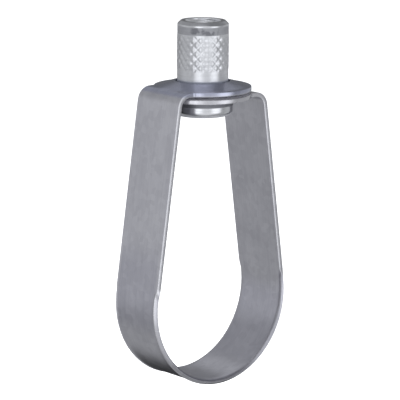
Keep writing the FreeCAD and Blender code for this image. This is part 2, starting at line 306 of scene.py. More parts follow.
def eased(value, gone, full):
    """0 on one side of gone, 1 on the other side of full, and a smooth change between them."""
    share = clamped((value - gone) / (full - gone), 0.0, 1.0)
    return share * share * (3.0 - 2.0 * share)


def zone(value, first_edge, second_edge):
    """1 between two edges and 0 beyond them."""
    return eased(value, *first_edge) * eased(value, *second_edge)


def rougher(base, *changes):
    """A roughness, from a base and from what each mask adds to it where it is 1."""
    for mask, change in changes:
        base = base + mask * change
    return base


print("zones ready")

# %% A metal finish
MIXED_SHADES = (0.3, 0.7)
LINED_SHADES = (0.35, 0.7)
BUMP_HEIGHT = 0.02 * MM


class Metal:
    """A zinc finish on bare metal, to which lines and zones can be added."""

    def __init__(self, name, greys, crystal, cloud, share):
        """A dark and a light grey, mixed by the mottle."""
        self.material = bpy.data.materials.new(name)
        self.material.use_nodes = True
        self.tree = self.material.node_tree
        self.shader = self.tree.nodes["Principled BSDF"]
        self.shader.inputs["Metallic"].default_value = 1.0
        self.place = add(self.tree, "ShaderNodeTexCoord").outputs["Object"]
        skin = self.effect(mottle, ("Place", self.place), ("Crystal size", crystal),
                           ("Cloud size", cloud), ("Crystal share", share))
        self.shade, self.grain = Field(skin["Shade"]), Field(skin["Height"])
        ramp = add(self.tree, "ShaderNodeValToRGB", self.shade)
        for stop, position, grey in zip(ramp.color_ramp.elements, MIXED_SHADES, greys):
            stop.position = position
            stop.color = (*grey, 1.0)
        self.colour = ramp.outputs["Color"]

    def effect(self, group, *given):
        """One of the shader groups, with its inputs fed by name."""
        node = add(self.tree, "ShaderNodeGroup", node_tree=group)
        for label, value in given:
            plug(value, node.inputs[label])
        return node.outputs

    def lines(self, slow, fast, length, width, tone):
        """Fine lines, tinted, and their shade from 0 to 1."""
        made = self.effect(lining, ("Slow place", slow), ("Fast place", fast),
                           ("Length", length), ("Width", width))
        shade = Field(made["Shade"])
        self.tint(eased(shade, *LINED_SHADES), tone)
        return shade

    def tint(self, mask, tone):
        """Multiplies the colour by another where a mask says so."""
        mix = add(self.tree, "ShaderNodeMix", data_type="RGBA", blend_type="MULTIPLY")
        plug(mask, mix.inputs["Factor"])
        slots = [slot for slot in mix.inputs if slot.type == "RGBA"]
        plug(self.colour, slots[0])
        plug((*tone, 1.0), slots[1])
        self.colour = next(out for out in mix.outputs if out.type == "RGBA")

    def close(self, roughness, height, strength):
        """Feeds the shader: its colour, its roughness and a bump from the height."""
        plug(self.colour, self.shader.inputs["Base Color"])
        plug(roughness, self.shader.inputs["Roughness"])
        relief = add(self.tree, "ShaderNodeBump")
        relief.inputs["Strength"].default_value = strength
        relief.inputs["Distance"].default_value = BUMP_HEIGHT
        plug(height, relief.inputs["Height"])
        plug(relief.outputs["Normal"], self.shader.inputs["Normal"])
        return self.material


print("metal ready")

# %% [markdown]
# The strip is one metal, but not one tone. The paddles are painted darker and bluer, as a painted
# reflection, and the legs are a little darker at their foot. The ring's inner floor is painted
# bright, as painted light, and the lips round it darker, as painted shade. The zinc that lies
# sheltered between the paddles is matt, and painted lighter there against the shade. Heights are
# from the pipe's axis, widths from the middle of the strip.

# %% The strip's tones and zones
STRIP_GREYS = (0.5, 0.495, 0.535), (0.58, 0.575, 0.615)
LINE_TONE = (0.94, 0.94, 0.95)
PADDLE_REFLECTION_TONE = (0.75, 0.78, 0.91)
FOOT_TONE = (0.86, 0.86, 0.89)
SEAT_LIGHT_TONE = (1.22, 1.22, 1.24)
LIP_SHADE_TONE = (0.78, 0.78, 0.8)
SHELTERED_LIGHT_TONE = (1.38, 1.38, 1.33)
EDGE_TONE = (1.03, 1.03, 1.01)
STRIP_ROUGHNESS = 0.25

PRESSED_HEIGHT = (band_high.z - 3 * MM, band_high.z - 2 * MM)
OUTSIDE_FOOT = (19 * MM, 10 * MM), (-8 * MM, -3 * MM)
INSIDE_FOOT = (3 * MM, -3 * MM), (-20.5 * MM, -18 * MM)
SEAT_HEIGHT = (-18.5 * MM, -21.3 * MM)
FLOOR_WIDTH = (7.9 * MM, 7.4 * MM)
LIP_WIDTH = (7.9 * MM, 8.2 * MM)
LIP_HEIGHT = (6 * MM, 3 * MM)
PADDLE_HEIGHT = (band_high.z - 6 * MM, band_high.z - 5 * MM)
PADDLE_REACH = (paddle_radius - 0.1 * MM, paddle_radius - 0.4 * MM)
RIGHT_SIDE = (-1 * MM, 1 * MM)
print(f"paddles pressed above {PRESSED_HEIGHT[0] / MM:.1f} mm")

# %% The strip's finish


def strip_metal():
    """Satin zinc with rolling lines along the strip, and its zones."""
    zinc = Metal("galvanised_strip", STRIP_GREYS, crystal=1.6 * MM, cloud=9 * MM, share=0.3)
    on_strip = add(zinc.tree, "ShaderNodeUVMap", uv_map="strip").outputs[0]
    along, across, _ = parts_of(zinc.tree, on_strip)
    x, y, height = parts_of(zinc.tree, zinc.place)
    lines = zinc.lines(on_strip, across, length=14 * MM, width=0.35 * MM, tone=LINE_TONE)
    edge, outer = [Field(add(zinc.tree, "ShaderNodeAttribute", attribute_name=name).outputs["Fac"])
                   for name in ("edge", "outer")]
    inner = 1.0 - outer
    pressed = eased(height, *PRESSED_HEIGHT)
    # Painted reflection: the paddles are tinted darker and bluer, for the dark bluish room they
    # mirror.
    zinc.tint(pressed, PADDLE_REFLECTION_TONE)
    from_middle = maths("ABSOLUTE", across)
    on_floor = eased(from_middle, *FLOOR_WIDTH)
    foot = outer * zone(height, *OUTSIDE_FOOT) + inner * zone(height, *INSIDE_FOOT)
    zinc.tint(foot * on_floor, FOOT_TONE)
    # Painted light: the ring's inner floor is tinted brighter.
    zinc.tint(inner * on_floor * eased(height, *SEAT_HEIGHT), SEAT_LIGHT_TONE)
    # Painted shade: the inner face of the turned-out lips is tinted darker.
    zinc.tint(inner * eased(from_middle, *LIP_WIDTH) * eased(height, *LIP_HEIGHT), LIP_SHADE_TONE)
    # The right paddle lies below, so its outer face is the sheltered one. On the left it is the
    # inner face.
    on_right = eased(along, *RIGHT_SIDE)
    facing_other = on_right * outer + (1.0 - on_right) * inner
    on_paddle = (eased(height, *PADDLE_HEIGHT)
                 * eased(maths("SQRT", x * x + y * y), *PADDLE_REACH))
    sheltered = facing_other * on_paddle
    # Painted light: the faces between the paddles are tinted lighter, against the shade that falls
    # there.
    zinc.tint(sheltered, SHELTERED_LIGHT_TONE)
    zinc.tint(edge, EDGE_TONE)
    roughness = rougher(STRIP_ROUGHNESS, (zinc.shade, 0.08), (lines, 0.04), (edge, -0.04),
                        (pressed, -0.08), (sheltered, 0.6))
    return zinc.close(roughness, zinc.grain + lines, strength=0.25)


strip_finish = strip_metal()
print("finish:", strip_finish.name)

# %% [markdown]
# The nut is turned, so its zones are rings. The band above the knurl is duller, and the end face is
# painted darker, as painted shade. On one side the band has dark patches, a painted reflection. The
# barrel is satin, and matt inside the paddles' holes, where it is also painted darker and bluer as
# painted shade. A painted shadow darkens the flange where the lower paddle turns on it. The bore's
# mouth and the flange's foot are painted bright, as painted highlights.

# %% The nut's tones and zones
MOUTH_CHAMFER = 0.95 * MM
NUT_GREYS = (0.59, 0.594, 0.62), (0.69, 0.693, 0.72)
RING_TONE = (0.9, 0.9, 0.9)
BAND_TONE = (0.76, 0.76, 0.77)
DARK_REFLECTION_TONE = (0.6, 0.6, 0.62)
END_SHADE_TONE = (0.8, 0.8, 0.81)
MOUTH_AND_FOOT_HIGHLIGHT_TONE = (1.3, 1.3, 1.3)
FLANGE_SHADOW_TONE = (0.37, 0.37, 0.39)
HOLE_SHADE_TONE = (0.72, 0.75, 0.83)
BARREL_TONE = (1.05, 1.05, 1.05)
NUT_ROUGHNESS = 0.17

mouth_radius = bore_radius + MOUTH_CHAMFER
MOUTH_REACH = (mouth_radius, mouth_radius - 0.1 * MM)
END_HEIGHT = (nut_high.z - 0.85 * MM, nut_high.z - 0.75 * MM)
BAND_LOW = (nut_high.z - 3.5 * MM, nut_high.z - 3.3 * MM)
BAND_HIGH = (nut_high.z - 1.2 * MM, nut_high.z - 1.4 * MM)
BARREL_LOW = (band_high.z + 0.1 * MM, band_high.z + 0.6 * MM)
BARREL_HIGH = (nut_high.z - 3.4 * MM, nut_high.z - 3.5 * MM)
HOLES_LOW = (nut_low.z + 5.8 * MM, nut_low.z + 6.2 * MM)
FLANGE_SHADOW_LOW = (nut_low.z + 2.7 * MM, nut_low.z + 2.95 * MM)
FOOT_HEIGHT = (nut_low.z + 1.0 * MM, nut_low.z + 0.5 * MM)
# The dark patches of a painted reflection, on one side of the band.
REFLECTION_BLOT_SIZE = 2.2 * MM
REFLECTION_BLOT_SHADES = (0.45, 0.54)
DARK_REFLECTION_TURN = math.radians(36)
DARK_REFLECTION_SIDE = (-0.8, -0.9)
print(f"mouth {2 * mouth_radius / MM:.2f} mm across")

# %% The nut's finish


def nut_metal():
    """Plated zinc with turned rings, and its zones."""
    zinc = Metal("plated_nut", NUT_GREYS, crystal=0.8 * MM, cloud=5 * MM, share=0.2)
    x, y, height = parts_of(zinc.tree, zinc.place)
    radius = maths("SQRT", x * x + y * y)
    rings = zinc.lines(zinc.place, height + radius, length=9 * MM, width=0.16 * MM,
                       tone=RING_TONE)
    mouth = eased(radius, *MOUTH_REACH)
    foot = eased(height, *FOOT_HEIGHT)
    above_flange = eased(height, *HOLES_LOW)
    above_paddles = eased(height, *BARREL_LOW)
    flange_shadow = eased(height, *FLANGE_SHADOW_LOW) * (1.0 - above_flange)
    in_holes = above_flange * (1.0 - above_paddles)
    barrel = above_paddles * eased(height, *BARREL_HIGH)
    band = zone(height, BAND_LOW, BAND_HIGH)
    reflection_blots = add(zinc.tree, "ShaderNodeTexNoise", zinc.place)
    reflection_blots.inputs["Scale"].default_value = 1.0 / REFLECTION_BLOT_SIZE
    facing = (x * math.sin(DARK_REFLECTION_TURN) + y * math.cos(DARK_REFLECTION_TURN)) / radius
    reflection_blotted = eased(Field(reflection_blots.outputs[0]), *REFLECTION_BLOT_SHADES)
    zinc.tint(band, BAND_TONE)
    # Painted reflection: dark patches on one side of the band, for something dark in front of the
    # nut.
    zinc.tint(band * reflection_blotted * eased(facing, *DARK_REFLECTION_SIDE), DARK_REFLECTION_TONE)
    # Painted shade: the end face and the top chamfer are tinted darker, but not the bore's mouth.
    zinc.tint(eased(height, *END_HEIGHT) * (1.0 - mouth), END_SHADE_TONE)
    # Painted highlights: the bore's mouth and the flange's foot are tinted brighter.
    zinc.tint(maths("MAXIMUM", mouth, foot), MOUTH_AND_FOOT_HIGHLIGHT_TONE)
    # Painted shadow: the flange's upper part is tinted dark under the lower paddle's rim.
    zinc.tint(flange_shadow, FLANGE_SHADOW_TONE)
    # Painted shade: the barrel inside the paddles' holes is tinted darker and bluer.
    zinc.tint(in_holes, HOLE_SHADE_TONE)
    zinc.tint(barrel, BARREL_TONE)
    roughness = rougher(NUT_ROUGHNESS, (zinc.shade, 0.06), (rings, 0.05), (band, 0.5),
                        (barrel, 0.1), (foot, 0.4), (flange_shadow, 0.35), (in_holes, 0.5))
    return zinc.close(roughness, zinc.grain + rings, strength=0.15)


nut_finish = nut_metal()
print("finish:", nut_finish.name)

# %% [markdown]
# ## The strip's flat blank
# The real strip is blanked flat, with its round ends and holes, and folded afterwards. The same
# order is the easy one here: a flat sheet of quads is thickened, its edges are rolled by a Bevel
# modifier while everything is still square, and the folding comes last. On the blank, x runs
# along the strip from the bottom of the cradle, y across it and z through it.

# %% Lengths of the strip
STRIP_WIDTH = 17.2 * MM
STRIP_THICKNESS = 1.25 * MM
TAB_GAP = 0.75 * MM
BEND_RADIUS = 2.7 * MM
FLARE_RADIUS = 0.8 * MM
FLARE_TURN = math.radians(50)
FLARE_FADE = 3.5 * MM
PADDLE_CLEARANCE = 0.8 * MM
LOWER_HOLE = 6.65 * MM
UPPER_HOLE = 7.3 * MM
RIM_WIDTH = 0.7 * MM
DISH_SLOPE = math.tan(math.radians(16))

dish_radius = paddle_radius - RIM_WIDTH
lower_rise = (dish_radius - LOWER_HOLE) * DISH_SLOPE
upper_rise = (dish_radius - UPPER_HOLE) * DISH_SLOPE
upper_under = band_high.z - upper_rise - STRIP_THICKNESS
lower_under = upper_under - TAB_GAP - STRIP_THICKNESS
shoulder = Vector((paddle_radius + PADDLE_CLEARANCE, lower_under + STRIP_THICKNESS))
lean = math.atan2(shoulder.y, shoulder.x) - math.acos(ring_radius / shoulder.length)
mid_radius = ring_radius + STRIP_THICKNESS / 2
flare_mid = FLARE_RADIUS + STRIP_THICKNESS / 2
flat_half = STRIP_WIDTH / 2 - flare_mid * FLARE_TURN
cradle_length = mid_radius * (math.pi / 2 + lean)


def fold_side(under):
    """Bend place and the lengths of leg, bend and tab, for one side's paddle underside."""
    up = under - BEND_RADIUS
    out = (ring_radius - BEND_RADIUS - up * math.sin(lean)) / math.cos(lean)
    leg = up * math.cos(lean) - out * math.sin(lean)
    bend = (BEND_RADIUS + STRIP_THICKNESS / 2) * (math.pi / 2 - lean)
    return {"up": up, "out": out, "leg": leg, "bend": bend, "tab": out,
            "axis_at": cradle_length + leg + bend + out}


right, left = fold_side(lower_under), fold_side(upper_under)
between_holes = left["axis_at"] + right["axis_at"]
print(f"legs lean {math.degrees(lean):.1f} degrees, {between_holes / MM:.1f} mm from hole to hole")

# %% The flat blank's outline
ROOT_FILLET = 1.0 * MM
ROW_STEP = 1.0 * MM
INNER_ROWS = 6
RIM_ROWS = (0.0, 0.45 * MM, 0.85 * MM)
FILLET_STEPS = 5
PADDLE_STEPS = 72

half = STRIP_WIDTH / 2
fillet_at = Vector((-math.sqrt((paddle_radius + ROOT_FILLET) ** 2 - (half + ROOT_FILLET) ** 2),
                    half + ROOT_FILLET))
edge_rows = [half - inwards for inwards in RIM_ROWS] + [flat_half]
edge_rows += [i * ROW_STEP for i in range(INNER_ROWS, 0, -1)]
rows_across = [-y for y in edge_rows] + [0.0] + edge_rows[::-1]


def arc(centre, radius, start, end, steps):
    """Points along an arc, without its first one."""
    turns = [start + (end - start) * i / steps for i in range(1, steps + 1)]
    return [(centre[0] + radius * math.cos(t), centre[1] + radius * math.sin(t)) for t in turns]


def paddle_outline():
    """Round a paddle, its hole's centre at the origin and the strip coming from -x: across the
    root, round the upper hollow corner, round the paddle and back by the lower corner."""
    root = [(fillet_at.x, y) for y in rows_across]
    to_hole = math.atan2(-fillet_at.y, -fillet_at.x)
    corner = arc(fillet_at, ROOT_FILLET, -math.pi / 2, to_hole, FILLET_STEPS)
    leaves = math.atan2(fillet_at.y, fillet_at.x)
    round_end = arc((0, 0), paddle_radius, leaves, -leaves, PADDLE_STEPS)[:-1]
    return root + corner + round_end + [(x, -y) for x, y in reversed(corner)]


outline = paddle_outline()
print(f"paddle outline: {len(outline)} points, root {-fillet_at.x / MM:.2f} mm from the hole")

# %% The flat blank's mesh
WELD_GAP = 0.01 * MM
# A paddle's rings of points, each at a share of the way from its outline to its hole.
PADDLE_RINGS = (0.0, 0.04, 0.08, 0.12, 0.16, 0.2, 0.28, 0.4, 0.52, 0.64, 0.76, 0.88, 0.95, 1.0)
CRADLE_STEPS, FADE_STEPS, LEG_STEPS, BEND_STEPS, TAB_STEPS = 44, 7, 14, 12, 12


def spread(start, end, steps):
    return [start + (end - start) * i / steps for i in range(1, steps + 1)]


def stations(side):
    """Places along one side of the strip, from the bottom to the root of its paddle. They lie
    close together where the strip will be bent."""
    fade_end = cradle_length + FLARE_FADE
    leg_end = cradle_length + side["leg"]
    bend_end = leg_end + side["bend"]
    root = side["axis_at"] + fillet_at.x
    return [0.0, *spread(0.0, cradle_length, CRADLE_STEPS),
            *spread(cradle_length, fade_end, FADE_STEPS), *spread(fade_end, leg_end, LEG_STEPS),
            *spread(leg_end, bend_end, BEND_STEPS), *spread(bend_end, root, TAB_STEPS)]


def add_quads(sheet, lines, closed):
    """Fills the space between neighbouring lines of points with quads."""
    made = [[sheet.verts.new((x, y, 0)) for x, y in line] for line in lines]
    for near, far in zip(made, made[1:]):
        count = len(near)
        for i in range(count if closed else count - 1):
            after = (i + 1) % count
            sheet.faces.new((near[i], near[after], far[after], far[i]))


def flat_blank():
    """The strip as it is blanked, a sheet of quads with no thickness."""
    sheet = bmesh.new()
    for sign, side, hole in ((1, right, LOWER_HOLE), (-1, left, UPPER_HOLE)):
        add_quads(sheet, [[(sign * s, y) for y in rows_across] for s in stations(side)], False)
        rings = []
        for share in PADDLE_RINGS:
            inward = [1 - share + share * hole / math.hypot(x, y) for x, y in outline]
            rings.append([(sign * (side["axis_at"] + x * k), y * k)
                          for (x, y), k in zip(outline, inward)])
        add_quads(sheet, rings, True)
    bmesh.ops.remove_doubles(sheet, verts=sheet.verts, dist=WELD_GAP)
    for face in sheet.faces:
        face.normal_update()
        if face.normal.z < 0:
            face.normal_flip()
    length_map = sheet.loops.layers.uv.new("strip")
    for face in sheet.faces:
        for corner in face.loops:
            corner[length_map].uv = corner.vert.co.xy
    mesh = bpy.data.meshes.new("flat_blank")
    sheet.to_mesh(mesh)
    sheet.free()
    return mesh


blank = new_piece("folded_band", flat_blank())
print(f"flat blank: {len(blank.data.polygons)} quads, {blank.dimensions.x / MM:.1f} mm long")

# %% [markdown]
# ## Thickness and rolled edges
# Solidify gives the sheet its 1.25 mm, and Bevel rolls all its edges at once. In the photo these
# edges are what catches the light, so they are real geometry and not bump. Both modifiers work
# on a flat sheet without a flaw, which they would not do on a folded one.

# %% Thickness and edges
EDGE_ROUND = 0.2 * MM

thicken = blank.modifiers.new("thickness", "SOLIDIFY")
thicken.thickness = STRIP_THICKNESS
thicken.offset = 0.0
roll = blank.modifiers.new("rolled_edges", "BEVEL")
roll.width = EDGE_ROUND
roll.segments = 3
roll.limit_method = "ANGLE"
roll.angle_limit = math.radians(50)
blank.data = run_modifiers(blank)
print(f"thick blank: {len(blank.data.polygons)} faces")

# %% [markdown]
# ## Folding by Geometry Nodes
# The strip follows a line: round the cradle, up a leg, round the top bend and level again. Two
# such lines meet at the bottom, one for each side, and together they are one curve. For each
# point of the blank the tree asks that curve for its place and direction at the point's distance
# along the strip, and sets the point there. On the way it turns the cradle's edges outwards: from
# a little inside each edge the strip follows an arc, which fades out at the foot of the legs.
# The paddles are pressed to shallow dishes, so a point rises with its distance inside the rim.
# The tree also notes which points lie on a rolled edge and which on the outer face, for the
# finish.

# %% The line to fold along
ARC_STEPS = 90
LINE_SPARE = 1 * MM


def side_line(side):
    """The middle of the strip's thickness, from the bottom round to beyond the nut's axis."""
    bend = BEND_RADIUS + STRIP_THICKNESS / 2
    line = [(0.0, -mid_radius)]
    line += arc((0, 0), mid_radius, -math.pi / 2, lean, ARC_STEPS)
    line += [(side["out"] + bend * math.cos(lean), side["up"] + bend * math.sin(lean))]
    line += arc((side["out"], side["up"]), bend, lean, math.pi / 2, ARC_STEPS // 3)
    line += [(-paddle_radius - LINE_SPARE, side["up"] + bend)]
    return line


line_points = [(-x, z) for x, z in reversed(side_line(left))] + side_line(right)[1:]
line_curve = bpy.data.curves.new("fold_line", "CURVE")
line_curve.dimensions = "3D"
spline = line_curve.splines.new("POLY")
spline.points.add(len(line_points) - 1)
for point, (x, z) in zip(spline.points, line_points):
    point.co = (x, 0.0, z, 1.0)
fold_line = new_piece("fold_line", line_curve)
bottom_at = left["axis_at"] + paddle_radius + LINE_SPARE
print(f"fold line: {len(line_points)} points")

# %% The folding recipe
SOFT_FOLD = 0.5 * MM
FLARE_LOST = 0.9995


def fold_recipe():
    """Bends a flat thick blank along a line and turns out the edges of its middle stretch."""
    tree, blank_in, given = recipe("fold_strip", **{
        "Line": "object", "Bottom at": float, "Cradle length": float, "Flat half": float,
        "Flare radius": float, "Flare fade": float, "Left hole": float, "Right hole": float,
        "Dish radius": float, "Dish slope": float, "Finish": "material"})
    along, across, height = parts_of(tree, tree.nodes.new("GeometryNodeInputPosition").outputs[0])
    # How much of the flare is left here: 1 in the cradle, almost 0 on the legs.
    beyond = (maths("ABSOLUTE", along) - given["Cradle length"]) / given["Flare fade"]
    strength = 1.0 - eased(beyond, 0.0, 1.0) * FLARE_LOST
    radius = given["Flare radius"] / strength
    turn = maths("MAXIMUM", maths("ABSOLUTE", across) - given["Flat half"], 0.0) / radius
    inside = maths("MINIMUM", maths("ABSOLUTE", across), given["Flat half"])
    width = maths("SIGN", across) * (inside + (radius - height) * sine(turn))
    out = radius - (radius - height) * cosine(turn)
    # The dish: flat outside its radius, a steady slope inside, and a soft fold between them.
    to_hole = maths("MINIMUM", maths("ABSOLUTE", along + given["Left hole"]),
                    maths("ABSOLUTE", along - given["Right hole"]))
    inside_rim = given["Dish radius"] - maths("SQRT", to_hole * to_hole + across * across)
    fold = clamped(inside_rim + SOFT_FOLD, 0.0, 2 * SOFT_FOLD)
    climb = fold * fold / (4 * SOFT_FOLD) + maths("MAXIMUM", inside_rim - SOFT_FOLD, 0.0)
    out = out + climb * given["Dish slope"]
    # The line's place and direction at this distance along the strip.
    line = add(tree, "GeometryNodeObjectInfo")
    plug(given["Line"], line.inputs["Object"])
    ask = add(tree, "GeometryNodeSampleCurve", mode="LENGTH")
    plug(line.outputs["Geometry"], ask.inputs["Curves"])
    plug(along + given["Bottom at"], ask.inputs["Length"])
    place_x, _, place_z = parts_of(tree, ask.outputs["Position"])
    heading_x, _, heading_z = parts_of(tree, ask.outputs["Tangent"])
    folded = vector(tree, place_x + heading_z * out, 0.0 - width, place_z - heading_x * out)
    # What the finish needs to know of each point: is it on a rolled edge, and on which face?
    below_face = STRIP_THICKNESS / 2 - maths("ABSOLUTE", height)
    noted = add(tree, "GeometryNodeStoreNamedAttribute", blank_in, True, "edge",
                clamped(below_face / (EDGE_ROUND / 2), 0.0, 1.0), data_type="FLOAT").outputs[0]
    noted = add(tree, "GeometryNodeStoreNamedAttribute", noted, True, "outer",
                0.5 + height / STRIP_THICKNESS, data_type="FLOAT").outputs[0]
    moved = add(tree, "GeometryNodeSetPosition", noted, True, folded).outputs[0]
    return close_recipe(tree, moved, given["Finish"])


folding = fold_recipe()
print("fold_strip:", len(folding.nodes), "nodes")

# %% The folded band
blank.data = cook(folding, blank, **{
    "Line": fold_line, "Bottom at": bottom_at, "Cradle length": cradle_length,
    "Flat half": flat_half, "Flare radius": flare_mid, "Flare fade": FLARE_FADE,
    "Left hole": left["axis_at"], "Right hole": right["axis_at"], "Dish radius": dish_radius,
    "Dish slope": DISH_SLOPE, "Finish": strip_finish})
bpy.data.objects.remove(fold_line)
blank.data.shade_smooth()
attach(blank, "band")
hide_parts("band")
print("folded band:", [round(size / MM, 2) for size in blank.dimensions], "mm")

# %% [markdown]
# ## The nut's turned faces
# Everything on the nut that a lathe makes is one profile, spun round. Each corner of a turned
# part is broken a little, so every corner of the profile becomes a short arc.

# %% Profile of the nut
ROUND_STEPS = 240
BORE_STEPS = 80
BARREL_RADIUS = 6.85 * MM
NECK_RADIUS = 6.4 * MM
FLANGE_HEIGHT = 5.8 * MM
FLANGE_CHAMFER = 1.1 * MM
FOOT_ROUND = 1.2 * MM
FLANGE_BREAK = 0.4 * MM
NECK_PLAY = 0.45 * MM
SHOULDER_BREAK = 0.35 * MM
TOP_CHAMFER = 0.85 * MM
KNURL_LIFT = 2.8 * MM
PLAIN_BAND = 2.6 * MM
KNURL_MARGIN = 0.15 * MM
FOOT_FLAT = 0.6 * MM
TOP_FLAT = 0.3 * MM
FINE_CORNER = 0.12 * MM
LEDGE_CORNER = 0.15 * MM
SOFT_CORNER = 0.2 * MM
ROUND_CORNER = 0.3 * MM
DEGREES_A_STEP = 15

flange_top = nut_low.z + FLANGE_HEIGHT
neck_top = lower_under + STRIP_THICKNESS + lower_rise + NECK_PLAY
knurl_low = band_high.z + KNURL_LIFT
knurl_high = nut_high.z - TOP_CHAMFER - PLAIN_BAND


def broken(corners):
    """A profile with its corners rounded. Each corner is a radius, a height and a rounding."""
    points = []
    for i, (r, z, rounding) in enumerate(corners):
        here = Vector((r, z))
        if rounding == 0:
            points.append(here)
            continue
        back = (Vector(corners[i - 1][:2]) - here).normalized()
        on = (Vector(corners[i + 1][:2]) - here).normalized()
        half_turn = back.angle(on) / 2
        reach = rounding / math.tan(half_turn)
        centre = here + (back + on).normalized() * rounding / math.sin(half_turn)
        start, end = here + back * reach - centre, here + on * reach - centre
        steps = max(2, round(math.degrees(math.pi - 2 * half_turn) / DEGREES_A_STEP))
        for k in range(steps + 1):
            way = start.normalized().slerp(end.normalized(), k / steps)
            points.append(centre + way * rounding)
    return points


lower_profile = broken([
    (flange_radius - FLANGE_CHAMFER - FOOT_FLAT, nut_low.z, 0),
    (flange_radius - FLANGE_CHAMFER, nut_low.z, FOOT_ROUND),
    (flange_radius, nut_low.z + FLANGE_CHAMFER, FOOT_ROUND),
    (flange_radius, flange_top - FLANGE_BREAK, SOFT_CORNER),
    (flange_radius - FLANGE_BREAK, flange_top, LEDGE_CORNER),
    (NECK_RADIUS, flange_top, FINE_CORNER),
    (NECK_RADIUS, neck_top, FINE_CORNER),
    (BARREL_RADIUS, neck_top, SHOULDER_BREAK),
    (BARREL_RADIUS, knurl_low - KNURL_MARGIN, 0),
    (BARREL_RADIUS, knurl_low, 0)])
upper_profile = broken([
    (BARREL_RADIUS, knurl_high, 0),
    (BARREL_RADIUS, knurl_high + KNURL_MARGIN, 0),
    (BARREL_RADIUS, nut_high.z - TOP_CHAMFER, ROUND_CORNER),
    (BARREL_RADIUS - TOP_CHAMFER, nut_high.z, SOFT_CORNER),
    (BARREL_RADIUS - TOP_CHAMFER - TOP_FLAT, nut_high.z, 0)])
print(f"profile: {len(lower_profile)} points below the knurl and {len(upper_profile)} above")

# %% Spinning the profile


def ring(mesh, radius, height, steps):
    """One ring of points about the nut's axis."""
    return [mesh.verts.new((radius * math.cos(2 * math.pi * i / steps),
                            radius * math.sin(2 * math.pi * i / steps), height))
            for i in range(steps)]


def spin(mesh, profile):
    """A profile spun round. It runs upwards on the outside, so the faces point out."""
    rings = [ring(mesh, r, z, ROUND_STEPS) for r, z in profile]
    for low_ring, high_ring in zip(rings, rings[1:]):
        for i in range(ROUND_STEPS):
            after = (i + 1) % ROUND_STEPS
            mesh.faces.new((low_ring[i], low_ring[after], high_ring[after], high_ring[i]))
    return rings[0], rings[-1]


def end_face(mesh, outer, height, up):
    """The flat ring round the bore's mouth. Each step of the bore takes several outer ones."""
    inner = ring(mesh, mouth_radius, height, BORE_STEPS)
    share = ROUND_STEPS // BORE_STEPS
    for i in range(BORE_STEPS):
        after = (i + 1) % BORE_STEPS
        edge = [outer[(i * share + k) % ROUND_STEPS] for k in range(share + 1)]
        face = edge + [inner[after], inner[i]]
        mesh.faces.new(face if up else face[::-1])


def turned_faces():
    """The two spun parts of the nut and its two end faces."""
    mesh = bmesh.new()
    bottom, _ = spin(mesh, lower_profile)
    _, top = spin(mesh, upper_profile)
    end_face(mesh, bottom, nut_low.z, False)
    end_face(mesh, top, nut_high.z, True)
    return mesh


nut_mesh = turned_faces()
print(f"turned faces: {len(nut_mesh.faces)}")

# %% [markdown]
# ## The knurl
# A knurl is rolled: two crossing sets of grooves leave rows of small four-sided pyramids. So one
# pyramid is made on a small grid, set out flat in staggered rows by Instance on Points, and the
# whole field is then wrapped round the barrel. Towards both ends it fades into the plain barrel.

# %% The knurling recipe
DIAMONDS_ROUND = 20
DIAMOND_ROWS = 8
CELL_STEPS = 6
KNURL_RISE = 0.11 * MM
KNURL_DEPTH = 0.14 * MM
KNURL_FADE = 0.7 * MM
CUT_MARGIN = 0.05
SEAM_GAP = 0.002 * MM


